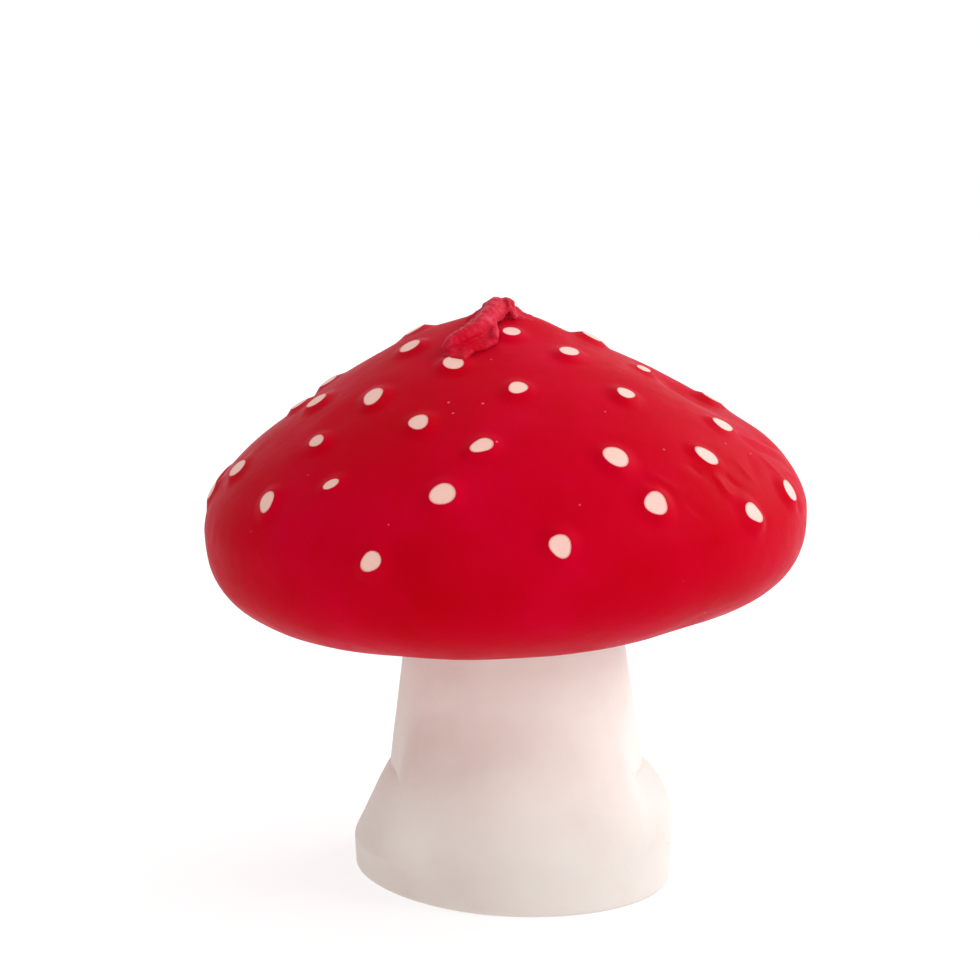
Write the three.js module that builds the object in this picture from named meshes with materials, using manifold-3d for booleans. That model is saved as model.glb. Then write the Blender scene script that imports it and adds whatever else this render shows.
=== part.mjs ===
// Mushroom-shaped candle: a white wax stem with a bulbous foot, a white wax cap dipped in
// red wax, wax warts sliced open to show white spots, and a cotton wick folded over the crown.
// Millimetres, +Z up. The origin is on the base, on the stem's axis. The front is -Y.

import * as THREE from 'three';
import { mergeVertices } from 'three/addons/utils/BufferGeometryUtils.js';
import Module from 'manifold-3d';

const wasm = await Module();
wasm.setup();

// ---- driving dimensions ----

const GAP = 0.3;                  // clearance between pieces that touch
const ROUND_STEPS = 32;           // facets around the cap and the stem

// cap, in its own frame: origin at the middle of its widest level
const CAP_RADIUS = 60;
const CAP_RISE = 40.2;            // widest level to the crown
const CAP_DROP = 23.3;            // widest level to the underside
const CAP_LEVEL = 73.6;           // height of the widest level above the base
const CAP_OFFSET = -1.5;          // the cap sits this far to the left of the stem
const CAP_TILT = THREE.MathUtils.degToRad(-2.9);  // its left side is the lower one
const CROWN_LEAN = -2.3;          // the crown leans this far to the left of the rim
const CROWN_POINT = 1.2;          // exponents of the crown's outline
const CROWN_ROUND = 0.58;
const RIM_SQUARENESS = 2.75;      // exponent of the rim's lower curve
const RIM_FLAT_RADIUS = 5;
const CROWN_STEPS = 10;
const RIM_STEPS = 6;
const COAT = 1;                   // thickness of the red dip layer

// warts: a peg of white wax stands in each, cut off flush with the red wax around it
const WART_HEIGHT = 1;
const WART_SINK = 0.9;            // depth of the red flank's root
const WART_FLANK = 1.6;           // width of the red flank around the cut
const WART_LIP = 0.5;             // width of red wax in the plane of the cut
const PEG_SINK = 2.8;
const WART_SIDES = 6;

// stem and foot
const BASE_RADIUS = 31.5;
const BASE_EDGE = 0.8;
const FOOT_RADIUS = 31.7;
const FOOT_LEVEL = 10.4;          // height of the foot's widest level
const FOOT_ROLL = 4.5;            // that level is higher on the right, lower on the left
const FOOT_SHOULDER = 1.22;       // exponent of the shoulder's curve
const FOOT_OVAL = -0.096;         // the foot bulges to the front right and back left
const FOOT_LOBES = 0.017;
const CREASE_RADIUS = 25.6;
const CREASE_LEVEL = 22.6;
const STEM_TOP_RADIUS = 22.3;
const STEM_TOP_LEVEL = 47;        // where the taper reaches that radius
const SHOULDER_STEPS = 6;
const TAPER_STEPS = 5;

// the crease is sharp on the left and right only: in front and behind, the foot runs smoothly
// into the stem between two heights
const SMOOTH_START = 14;
const SMOOTH_END = 38;
const CREASE_FADES = 0.72;        // share of the half width where the crease has gone
const CREASE_FULL = 0.97;

// sideways place of the stem's centre at four heights
const STEM_CENTRES = [[0, -0.6], [FOOT_LEVEL, -0.6], [CREASE_LEVEL, 0.8], [STEM_TOP_LEVEL, 0.4]];

// wick
const WICK_RADIUS = 1.1;
const WICK_STEPS = 72;
const WICK_SIDES = 6;
const SLEEVE_RADIUS = 1.9;        // red wax around the folded end
const SLEEVE_START = 0.79;        // where the sleeve starts along the wick, 0 to 1
const WICK_END = 0.985;           // the wick stops here, inside the sleeve's flap
const WICK_ROUTE = [
  [0, 0, 4.5],
  [0, 0, 28],
  [-0.6, -0.3, 60],
  [-1.8, -1, 95],
  [-2.4, -1.4, 110],
  [-2.6, -1.9, 113.2],
  [-3, -4, 115],
  [-3.9, -7.6, 114.8],
  [-4.9, -11, 113.6],
  [-6.6, -14.6, 112],
  [-9.3, -17.4, 110.6],
  [-12, -19.8, 109],
];

// spots: azimuth from the front in degrees (+ to the right), angle down the dome
// (0 at the crown, 90 at the widest level), and width of the cut
const FRONT_SPOTS = [
  [24.6, 11.7, 3.8], [-56, 17, 4.6], [46, 21.2, 4.5], [-16, 22.5, 4.2], [78, 31, 3.1],
  [9.6, 31.5, 3.8], [-41.3, 33.5, 4.8], [44, 37, 3.8], [-68, 38, 4.3], [-20, 41, 4.2],
  [-47.6, 48, 3.6], [-2.8, 48.5, 3.9], [66, 52, 4.5], [25.8, 55, 5], [48.3, 59.2, 4.1],
  [-35.6, 60.1, 2.7], [-72, 61, 4], [-10.8, 62.5, 4.7], [-50.7, 67.5, 4.3],
  [29.1, 70.5, 4.6], [-83, 71.5, 3.4], [68, 77.5, 4.7], [50.8, 79.8, 4], [9.4, 81, 4.2],
  [-23.4, 85, 3.9],
];
const BACK_SPOTS = [
  [128, 16, 4], [-102, 13.5, 4.2], [176, 20, 4.3], [94, 18, 4.2], [-142, 28, 4],
  [150, 36, 4.6], [-170, 37, 3.8], [-95, 32.5, 4.2], [-84, 39.5, 4], [-142, 48, 4.8],
  [99, 47.5, 4.2], [170, 52, 4.4], [132, 54, 4.9], [-115, 56, 3.6], [112, 60, 4],
  [-166, 63, 4.2], [-138, 66, 5], [152, 68, 4.3], [-98, 70, 4.5], [115, 70, 3.9],
  [178, 75, 4.7], [-120, 78, 4.6], [132, 81, 4.4], [-150, 82, 4.8], [98, 83, 4.1],
];
const SPOTS = [...FRONT_SPOTS, ...BACK_SPOTS];

// ---- solids ----

// a closed geometry with only shared positions left and no empty triangles
function toSolid(geometry) {
  const shape = geometry.clone();
  shape.deleteAttribute('normal');
  shape.deleteAttribute('uv');
  const merged = mergeVertices(shape, 1e-4);
  const corners = merged.index.array;
  const triangles = [];
  for (let i = 0; i < corners.length; i += 3) {
    const [a, b, c] = corners.slice(i, i + 3);
    if (a !== b && b !== c && c !== a) triangles.push(a, b, c);
  }
  return new wasm.Manifold(new wasm.Mesh({
    numProp: 3,
    vertProperties: new Float32Array(merged.attributes.position.array),
    triVerts: new Uint32Array(triangles),
  }));
}

function toGeometry(solid) {
  const mesh = solid.getMesh();
  const geometry = new THREE.BufferGeometry();
  geometry.setAttribute('position', new THREE.BufferAttribute(mesh.vertProperties, 3));
  geometry.setIndex(new THREE.BufferAttribute(mesh.triVerts, 1));
  geometry.computeVertexNormals();
  return geometry;
}

function movedSolid(solid, matrix) {
  return toSolid(toGeometry(solid).applyMatrix4(matrix));
}

// a lathed body turned from three.js's +Y axis to +Z
function lathed(profile) {
  return new THREE.LatheGeometry(profile, ROUND_STEPS).rotateX(Math.PI / 2);
}

// ---- the cap's frame and surface ----

const capFrame = new THREE.Matrix4()
  .makeRotationY(CAP_TILT)
  .setPosition(CAP_OFFSET, 0, CAP_LEVEL);
const stemInCapFrame = capFrame.clone().invert();

function crownHeight(share, rise) {
  return rise * Math.max(0, 1 - share ** CROWN_POINT) ** CROWN_ROUND;
}

// the cap's body, shrunk inwards by inset
function capBody(inset) {
  const radius = CAP_RADIUS - inset;
  const rise = CAP_RISE - inset;
  const drop = CAP_DROP - inset;
  const profile = [new THREE.Vector2(0, -drop)];
  for (let i = RIM_STEPS - 1; i >= 0; i -= 1) {
    const turn = (i / RIM_STEPS) * (Math.PI / 2);
    const out = Math.cos(turn) ** (2 / RIM_SQUARENESS);
    const down = Math.sin(turn) ** (2 / RIM_SQUARENESS);
    profile.push(new THREE.Vector2(RIM_FLAT_RADIUS + (radius - RIM_FLAT_RADIUS) * out, -drop * down));
  }
  for (let i = 1; i <= CROWN_STEPS; i += 1) {
    const share = Math.cos((i / CROWN_STEPS) * (Math.PI / 2));
    profile.push(new THREE.Vector2(i < CROWN_STEPS ? radius * share : 0, crownHeight(share, rise)));
  }
  const geometry = lathed(profile);
  const points = geometry.attributes.position;
  for (let i = 0; i < points.count; i += 1) {
    points.setX(i, points.getX(i) + CROWN_LEAN * Math.max(0, points.getZ(i) / rise));
  }
  return toSolid(geometry);
}

function capPoint(azimuth, down) {
  const share = Math.sin(THREE.MathUtils.degToRad(down));
  const around = THREE.MathUtils.degToRad(azimuth);
  const height = crownHeight(share, CAP_RISE);
  return new THREE.Vector3(
    CAP_RADIUS * share * Math.sin(around) + CROWN_LEAN * (height / CAP_RISE),
    -CAP_RADIUS * share * Math.cos(around),
    height,
  );
}

function capNormal(azimuth, down) {
  const along = capPoint(azimuth, down + 1).sub(capPoint(azimuth, down - 1));
  const across = capPoint(azimuth + 1, down).sub(capPoint(azimuth - 1, down));
  return along.cross(across).normalize();
}

// a prism standing on the cap's surface, from depth below it to height above it
function standingPrism([azimuth, down], rootRadius, topRadius, depth, height) {
  const normal = capNormal(azimuth, down);
  const middle = capPoint(azimuth, down).addScaledVector(normal, (height - depth) / 2);
  const turn = new THREE.Quaternion().setFromUnitVectors(new THREE.Vector3(0, 1, 0), normal);
  const place = new THREE.Matrix4().compose(middle, turn, new THREE.Vector3(1, 1, 1));
  const prism = new THREE.CylinderGeometry(topRadius, rootRadius, height + depth, WART_SIDES);
  return toSolid(prism.applyMatrix4(place));
}

// ---- wick route ----

class Stretch extends THREE.Curve {
  constructor(whole, start, end) {
    super();
    Object.assign(this, { whole, start, end });
  }

  getPoint(t, target = new THREE.Vector3()) {
    return target.copy(this.whole.getPointAt(this.start + (this.end - this.start) * t));
  }
}

const wickRoute = new THREE.CatmullRomCurve3(
  WICK_ROUTE.map((point) => new THREE.Vector3(...point)),
  false,
  'centripetal',
);

function tubeAlong(start, end, radius) {
  const section = new THREE.Shape();
  for (let i = 0; i < WICK_SIDES; i += 1) {
    const turn = (i / WICK_SIDES) * 2 * Math.PI;
    const corner = [radius * Math.cos(turn), radius * Math.sin(turn)];
    if (i === 0) section.moveTo(...corner);
    else section.lineTo(...corner);
  }
  section.closePath();
  return toSolid(new THREE.ExtrudeGeometry(section, {
    extrudePath: new Stretch(wickRoute, start, end),
    steps: Math.round(WICK_STEPS * (end - start)),
    bevelEnabled: false,
  }));
}

// ---- pieces ----

const wickSpace = tubeAlong(0, 1, WICK_RADIUS + GAP);
const wickSpaceInCap = movedSolid(wickSpace, stemInCapFrame);

// how far the stem's centre is to the right at a height
function stemCentre(height) {
  const last = STEM_CENTRES.length - 1;
  const upper = Math.min(last, Math.max(1, STEM_CENTRES.findIndex(([level]) => level >= height)));
  const [[lowLevel, lowX], [highLevel, highX]] = [STEM_CENTRES[upper - 1], STEM_CENTRES[upper]];
  return lowX + (highX - lowX) * Math.min(1, (height - lowLevel) / (highLevel - lowLevel));
}

// how much further out than the creased outline the smooth one is at a height
function smoothOutline(height, creased) {
  const up = THREE.MathUtils.clamp(
    (height - CREASE_LEVEL) / (STEM_TOP_LEVEL - CREASE_LEVEL),
    0,
    1,
  );
  const taper = THREE.MathUtils.lerp(CREASE_RADIUS, STEM_TOP_RADIUS, up);
  const share = THREE.MathUtils.smoothstep(height, SMOOTH_START, SMOOTH_END);
  return THREE.MathUtils.lerp(FOOT_RADIUS, taper, share) - creased;
}

// the stem's round outline, pushed into its hand-worked shape; grown widens it all over
function stemBody(grown, top) {
  const profile = [
    new THREE.Vector2(0, 0),
    new THREE.Vector2(BASE_RADIUS - BASE_EDGE + grown, 0),
    new THREE.Vector2(BASE_RADIUS + grown, BASE_EDGE),
  ];
  for (let i = SHOULDER_STEPS; i >= 0; i -= 1) {
    const turn = (i / SHOULDER_STEPS) * (Math.PI / 2);
    const out = Math.sin(turn) ** (2 / FOOT_SHOULDER);
    const up = Math.cos(turn) ** (2 / FOOT_SHOULDER);
    profile.push(new THREE.Vector2(
      CREASE_RADIUS + (FOOT_RADIUS - CREASE_RADIUS) * out + grown,
      FOOT_LEVEL + (CREASE_LEVEL - FOOT_LEVEL) * up,
    ));
  }
  for (let i = 1; i <= TAPER_STEPS; i += 1) {
    const share = i / TAPER_STEPS;
    profile.push(new THREE.Vector2(
      CREASE_RADIUS + (STEM_TOP_RADIUS - CREASE_RADIUS) * share + grown,
      CREASE_LEVEL + (STEM_TOP_LEVEL - CREASE_LEVEL) * share,
    ));
  }
  profile.push(new THREE.Vector2(STEM_TOP_RADIUS + grown, top), new THREE.Vector2(0, top));
  const geometry = lathed(profile);
  const points = geometry.attributes.position;
  for (let i = 0; i < points.count; i += 1) {
    const x = points.getX(i);
    const y = points.getY(i);
    const z = points.getZ(i);
    const turn = Math.atan2(y, x);
    const shape = FOOT_OVAL * Math.sin(2 * turn) + FOOT_LOBES * Math.cos(3 * turn);
    const inFoot = THREE.MathUtils.clamp((CREASE_LEVEL - z) / (CREASE_LEVEL - FOOT_LEVEL), 0, 1);
    const radius = Math.hypot(x, y);
    const sideways = Math.abs(Math.cos(turn));
    const smoothed = 1 - THREE.MathUtils.smoothstep(sideways, CREASE_FADES, CREASE_FULL);
    const between = z >= FOOT_LEVEL && z <= STEM_TOP_LEVEL;
    const extra = between ? smoothed * smoothOutline(z, radius - grown) : 0;
    const swell = (1 + shape * inFoot) * (radius > 0 ? 1 + extra / radius : 1);
    const roll = z < CREASE_LEVEL ? Math.sin(Math.PI * Math.max(0, z / CREASE_LEVEL)) : 0;
    const side = radius / FOOT_RADIUS;
    points.setXYZ(i, x * swell + stemCentre(z), y * swell, z + FOOT_ROLL * roll * Math.cos(turn) * side);
  }
  return toSolid(geometry);
}

function stem() {
  const taller = stemBody(0, CAP_LEVEL);
  // a slab with the cap's tilt takes off what would reach into the cap
  const slab = new THREE.BoxGeometry(2 * CAP_RADIUS, 2 * CAP_RADIUS, CAP_RADIUS);
  const underside = -(CAP_DROP - COAT - GAP) - GAP;
  slab.translate(0, 0, underside + CAP_RADIUS / 2).applyMatrix4(capFrame);
  return taller.subtract(toSolid(slab)).subtract(wickSpace);
}

function capCore() {
  let core = capBody(COAT + GAP);
  for (const spot of SPOTS) {
    const radius = spot[2] / 2 - GAP / 2;
    core = core.add(standingPrism(spot, radius, radius, PEG_SINK, WART_HEIGHT));
  }
  return core.subtract(wickSpaceInCap);
}

// the whole outside of the red wax, warts and all; grown moves it outwards
function capOutside(grown) {
  let outside = capBody(-grown);
  for (const spot of SPOTS) {
    const lip = spot[2] / 2 + WART_LIP + grown;
    const height = WART_HEIGHT + grown;
    outside = outside.add(standingPrism(spot, lip + WART_FLANK, lip, WART_SINK, height));
  }
  return outside;
}

function capCoat() {
  let coat = capOutside(0).subtract(capBody(COAT));
  for (const spot of SPOTS) {
    const radius = spot[2] / 2 + GAP / 2;
    coat = coat.subtract(standingPrism(spot, radius, radius, PEG_SINK, 2 * WART_HEIGHT));
  }
  const stemSpace = movedSolid(stemBody(GAP, CAP_LEVEL), stemInCapFrame);
  return coat.subtract(stemSpace).subtract(wickSpaceInCap);
}

function lump(centre, radii, turn) {
  const place = new THREE.Matrix4().compose(
    new THREE.Vector3(...centre),
    new THREE.Quaternion().setFromEuler(new THREE.Euler(...turn)),
    new THREE.Vector3(...radii),
  );
  return toSolid(new THREE.SphereGeometry(1, 12, 7).applyMatrix4(place));
}

// red wax around the folded wick, with a torn flap at its end and a torn lump on the crown
function wickCoat() {
  const flap = lump([-8.8, -18.6, 109.4], [5.6, 2.2, 1.3], [0.5, 0.3, 0.3]);
  const torn = lump([0.6, -4.6, 115.3], [3.4, 1.5, 1.2], [0, 0.28, -0.25]);
  return tubeAlong(SLEEVE_START, 1, SLEEVE_RADIUS)
    .add(flap)
    .add(torn)
    .subtract(movedSolid(capOutside(GAP), capFrame))
    .subtract(tubeAlong(0, WICK_END, WICK_RADIUS + GAP));
}

// ---- materials ----

const whiteWax = { color: 0xe6d8cd, roughness: 0.55, metalness: 0 };
const redWax = { color: 0xc00820, roughness: 0.4, metalness: 0 };
const cotton = { color: 0xe9dfc8, roughness: 0.9, metalness: 0 };

function piece(name, solid, looks) {
  const mesh = new THREE.Mesh(toGeometry(solid), new THREE.MeshStandardMaterial(looks));
  mesh.name = name;
  return mesh;
}

// ---- assembly ----

const cap = new THREE.Group();
cap.add(piece('cap_core', capCore(), whiteWax));
cap.add(piece('cap_coat', capCoat(), redWax));
cap.applyMatrix4(capFrame);

const candle = new THREE.Group();
candle.add(piece('stem', stem(), whiteWax));
candle.add(cap);
candle.add(piece('wick', tubeAlong(0, WICK_END - 0.005, WICK_RADIUS), cotton));
candle.add(piece('wick_coat', wickCoat(), redWax));

export default candle;
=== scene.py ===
"""A mushroom-shaped wax candle: pale cast stem, red dipped cap with sliced warts, folded wick.

Shapes are worked out in millimetres in the part's own frame (origin under the stem's axis, +Z up,
-Y to the front) and written to the meshes in metres.
"""

import math

import bmesh
import bpy
import numpy as np
from mathutils import Matrix, Vector, noise
from mathutils.geometry import delaunay_2d_cdt


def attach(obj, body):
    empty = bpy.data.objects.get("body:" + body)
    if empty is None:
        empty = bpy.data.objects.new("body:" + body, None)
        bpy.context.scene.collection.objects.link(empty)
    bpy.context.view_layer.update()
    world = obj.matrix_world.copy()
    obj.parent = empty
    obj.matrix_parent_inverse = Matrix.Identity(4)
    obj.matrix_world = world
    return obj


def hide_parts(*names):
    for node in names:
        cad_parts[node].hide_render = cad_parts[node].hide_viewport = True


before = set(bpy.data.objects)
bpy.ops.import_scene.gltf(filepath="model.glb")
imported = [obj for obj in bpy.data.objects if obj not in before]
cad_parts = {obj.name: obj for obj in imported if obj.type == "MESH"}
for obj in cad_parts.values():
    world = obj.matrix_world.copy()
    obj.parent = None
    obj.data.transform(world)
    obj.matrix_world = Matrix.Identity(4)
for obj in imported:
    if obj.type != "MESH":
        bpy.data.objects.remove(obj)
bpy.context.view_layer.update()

MM = 0.001
SEED = 11
SHARP_ANGLE = math.radians(48)  # an edge that bends more than this is shaded sharp

# ---- the cap's outline, in its own frame: origin in the middle of its widest level ----

CAP_RADIUS = 60.0
CAP_RISE = 40.2               # widest level to the crown
CAP_DROP = 23.3               # widest level to the underside
CAP_LEVEL = 73.6              # height of the widest level above the base
CAP_OFFSET = -1.5             # the cap sits this far to the left of the stem
CAP_TILT = math.radians(-2.9)  # its left side is the lower one
CROWN_LEAN = -2.3             # the crown leans this far to the left
CROWN_POINT = 1.2             # exponents of the crown's outline
CROWN_ROUND = 0.58
RIM_SQUARENESS = 2.75         # exponent of the rim's lower curve
RIM_FLAT_RADIUS = 5.0
OUTLINE_STEPS = 900           # on the dome's outline, and again on the rim's
SLOPE_REACH = 0.4             # a slope is measured over this many mm to each side
COAT = 1.0                    # thickness of the red wax
CORE_DEPTH = 1.05             # the pale core's surface lies this far under the red one

# ---- warts ----

WART_HEIGHT = 0.65            # the cut stands this far above the dome
WART_FLANK = 2.7              # width of the red slope around the cut
FLANK_FULLNESS = 0.75         # more makes the slope rounder at its top
FRONT_TILT = 0.08             # most that a cut is tilted, as a slope
BACK_TILT = 0.12
BACK_STRETCH = (1, 1.3)       # range of the back cuts' length over width
BACK_POINT = (-0.06, 0.1)     # and of how pointed one end is
CONTOUR_STEPS = 28            # points around each cut
CUT_RINGS = (0.3, 0.6, 0.84)  # shares of the cut's radius
FLANK_RINGS = (0.07, 0.25, 0.55, 0.95, 1.4, 1.9, 2.5)  # mm outside the cut

# ---- mesh density on the cap ----

DOME_STEP = 1.05
FINE_STEP = 0.6               # where the skin is wrinkled
SEAM_LENGTH_BELOW = 8.0       # the free mesh ends this far below the widest level
SEAM_STEPS = 320
SEAM_CLEAR = 0.55             # the lattice stops this far short of the seam
RIM_STEP = 1.5
ROW_GAP = 0.866               # rows of the lattice, as a share of its step
FLANK_CLEAR = 0.4             # gap from a wart's last ring, as a share of the step
WRINKLED_AZIMUTH = (30, 100)  # degrees
WRINKLED_LENGTH = 44          # from the crown
SAME_PLACE = 1e-6             # mm

# ---- stem ----

BASE_RADIUS = 31.5
BASE_EDGE = 0.9
FOOT_RADIUS = 31.7
FOOT_LEVEL = 10.4
FOOT_ROLL = 4.5
FOOT_SHOULDER = 1.22
FOOT_OVAL = -0.096
FOOT_LOBES = 0.017
OVAL_LEVEL = 7.5              # above this the foot's oval fades towards the crease
CREASE_RADIUS = 25.6
CREASE_LEVEL = 22.6
STEM_TOP_RADIUS = 22.3
STEM_TAPER_LEVEL = 47.0
STEM_TOP = 51.3
SMOOTH_START = 14.0           # between these levels the foot runs smoothly into the stem,
SMOOTH_END = 38.0             # in front and behind; the crease is sharp at the sides only
CREASE_FADES = 0.72           # share of the half width where the crease has gone
CREASE_FULL = 0.97
STEM_CENTRES = ((0, -0.6), (FOOT_LEVEL, -0.6), (CREASE_LEVEL, 0.8), (STEM_TAPER_LEVEL, 0.4))
STEM_STEPS = 256
FLAT_END_RADIUS = 12.0        # nearer the axis than this, the stem's ends stay even
WAVES_START = 2.0             # the unevenness fades in over this height
# points on each stretch of the stem's outline
BASE_STEPS = 12
EDGE_STEPS = 5
FOOT_STEPS = 11
SHOULDER_STEPS = 24
TAPER_STEPS = 25
NECK_STEPS = 5
TOP_STEPS = 10
CHANNEL_STEPS = 12
CHANNEL_RADIUS = 1.45
CHANNEL_START = 4.5

# ---- unevenness: height and width of each layer's lumps in mm, and its own part of the seed ----

SKIN_WAVES = ((0.32, 24, 0), (0.1, 9, 3), (0.03, 3.2, 7))
CALM_CROWN = 14               # the skin's waves fade in over this length from the crown
STEM_WAVES = ((0.22, 16, 20), (0.06, 5, 23))
WAX_WAVES = ((0.18, 1.4, 31), (0.09, 0.6, 33))
TORN_WAVE = (0.3, 1.9, 37)

# spots: azimuth from the front in degrees (+ to the right), angle down the dome, width of the
# cut, length over width, direction of the length (0 level, 90 downhill), how pointed one end is;
# the last three are drawn at random for the back
FRONT_SPOTS = (
    (24.6, 11.7, 3.8, 1.25, 139, 0.0), (-56, 17, 4.6, 1.05, 36, 0.0),
    (46, 21.2, 4.5, 1.45, 156, 0.0), (-16, 22.5, 4.2, 1.2, 45, 0.0), (78, 31, 3.1, 1.1, 0, 0.0),
    (9.6, 31.5, 3.8, 1.19, 132, 0.05), (-41.3, 33.5, 4.8, 1.38, 63, 0.04),
    (44, 37, 3.8, 1.15, 146, 0.05), (-69.3, 36.8, 4.9, 1.1, 5, 0.0), (-20, 41, 4.2, 1.17, 58, 0.05),
    (-47.6, 48, 3.6, 1.33, 14, 0.03), (-2.8, 48.5, 3.9, 1.42, 153, 0.06),
    (66, 52, 4.5, 1.25, 20, 0.06), (25.8, 55, 5, 1.09, 89, 0.03),
    (48.3, 59.2, 4.1, 1.55, 56, -0.04), (-35.6, 60.1, 2.7, 1.7, 148, 0.0),
    (-73, 60.5, 4.6, 1.1, 0, 0.0), (-10.8, 62.5, 4.7, 1.15, 155, 0.03),
    (-50.7, 67.5, 4.3, 1.24, 66, 0.05), (29.1, 70.5, 4.6, 1.06, -60, 0.06),
    (-83, 71.5, 3.4, 1.2, 100, 0.0), (68, 77.5, 4.7, 1.2, 30, 0.0),
    (50.8, 79.8, 4, 1.38, 48, 0.07), (9.4, 81, 4.2, 1.1, 76, 0.06), (-23.4, 85, 3.9, 1.29, 140, 0.04),
)
BACK_SPOTS = (
    (128, 16, 4), (-102, 13.5, 4.2), (176, 20, 4.3), (94, 20, 4.2), (-142, 28, 4),
    (150, 36, 4.6), (-170, 37, 3.8), (-95, 32.5, 4.2), (-84, 39.5, 4), (-142, 48, 4.8),
    (99, 47.5, 4.2), (170, 52, 4.4), (132, 54, 4.9), (-115, 56, 3.6), (112, 60, 4),
    (-166, 63, 4.2), (-138, 66, 5), (152, 68, 4.3), (-98, 70, 4.5), (115, 70, 3.9),
    (178, 75, 4.7), (-120, 78, 4.6), (132, 81, 4.4), (-150, 82, 4.8), (98, 83, 4.1),
)


# ---- small helpers ----

def smooth_step(start, end, value):
    """0 before start, 1 after end, and a soft ramp between them."""
    share = np.clip((value - start) / (end - start), 0, 1)
    return share * share * (3 - 2 * share)


def noise_at(points, size, offset=0.0):
    """Smooth noise from -1 to 1 at each point; size is the width of its lumps in mm."""
    shift = Vector((offset, offset * 0.7, -offset * 1.3))
    return np.array([noise.noise(Vector(point) / size + shift) for point in points])


def uneven(points, waves):
    """The layers of noise together, in mm, at each point."""
    total = np.zeros(len(points))
    for height, width, seed in waves:
        total += height * noise_at(points, width, SEED + seed)
    return total


def make_piece(name, points, faces, node, looks):
    """A mesh object from points in mm, riding on the frame in place of a CAD node."""
    mesh = bpy.data.meshes.new(name)
    mesh.from_pydata((np.asarray(points) * MM).tolist(), [], faces)
    mesh.validate()
    mesh.shade_smooth()
    mesh.set_sharp_from_angle(angle=SHARP_ANGLE)
    piece = bpy.data.objects.new(name, mesh)
    bpy.context.scene.collection.objects.link(piece)
    mesh.materials.append(looks)
    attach(piece, "root")
    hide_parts(node)
    return piece


def ring_faces(first, second, count):
    """Quads between two rings of points whose numbers start at first and second."""
    return [
        (first + i, first + (i + 1) % count, second + (i + 1) % count, second + i)
        for i in range(count)
    ]


# ---- the cap's bare surface ----

def cap_profile():
    """Radius and height along the outline, from the crown over the rim to the underside."""
    down = np.linspace(0, math.pi / 2, OUTLINE_STEPS)
    share = np.sin(down)
    dome_radius = CAP_RADIUS * share
    dome_height = CAP_RISE * np.maximum(0, 1 - share ** CROWN_POINT) ** CROWN_ROUND
    turn = np.linspace(0, math.pi / 2, OUTLINE_STEPS)[1:]
    width = CAP_RADIUS - RIM_FLAT_RADIUS
    rim_radius = RIM_FLAT_RADIUS + width * np.maximum(np.cos(turn), 0) ** (2 / RIM_SQUARENESS)
    rim_height = -CAP_DROP * np.sin(turn) ** (2 / RIM_SQUARENESS)
    radius = np.concatenate([dome_radius, rim_radius])
    height = np.concatenate([dome_height, rim_height])
    length = np.concatenate([[0], np.cumsum(np.hypot(np.diff(radius), np.diff(height)))])
    return radius, height, length, np.degrees(down), length[: len(down)]


PROFILE_RADIUS, PROFILE_HEIGHT, PROFILE_LENGTH, DOME_DOWN, DOME_LENGTH = cap_profile()
WIDEST_LENGTH = DOME_LENGTH[-1]
SEAM_LENGTH = WIDEST_LENGTH + SEAM_LENGTH_BELOW


def radius_at(length):
    """Radius of the outline at a length from the crown."""
    return np.interp(length, PROFILE_LENGTH, PROFILE_RADIUS)


def bare_cap(azimuth, length):
    """Points and outward normals of the plain cap at an azimuth and a length from the crown."""
    radius = radius_at(length)
    height = np.interp(length, PROFILE_LENGTH, PROFILE_HEIGHT)
    before, after = np.maximum(length - SLOPE_REACH, 0), length + SLOPE_REACH
    out = radius_at(after) - radius_at(before)
    up = (np.interp(after, PROFILE_LENGTH, PROFILE_HEIGHT)
          - np.interp(before, PROFILE_LENGTH, PROFILE_HEIGHT))
    size = np.hypot(out, up)
    out, up = out / size, up / size
    lean = CROWN_LEAN * np.maximum(height, 0) / CAP_RISE
    sine, cosine = np.sin(azimuth), -np.cos(azimuth)
    points = np.stack([radius * sine + lean, radius * cosine, height], axis=1)
    normals = np.stack([-up * sine, -up * cosine, out], axis=1)
    return points, normals


# a flat chart of the dome: distance from the middle is the length from the crown

def chart(azimuth, length):
    """Places on the chart, from azimuths in radians and lengths."""
    return np.stack([length * np.sin(azimuth), -length * np.cos(azimuth)], axis=-1)


def from_chart(places):
    """Azimuths in radians and lengths of places on the chart."""
    return np.arctan2(places[:, 0], -places[:, 1]), np.hypot(places[:, 0], places[:, 1])


def chart_place(azimuth, down):
    """The chart's place of an azimuth and an angle down the dome, both in degrees.

    Past 90, the rest of the angle counts as mm beyond the widest level.
    """
    length = np.interp(down, DOME_DOWN, DOME_LENGTH) + max(0, down - 90)
    return chart(math.radians(azimuth), length)


# ---- folds, dents and swellings in the dipped skin ----

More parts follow.
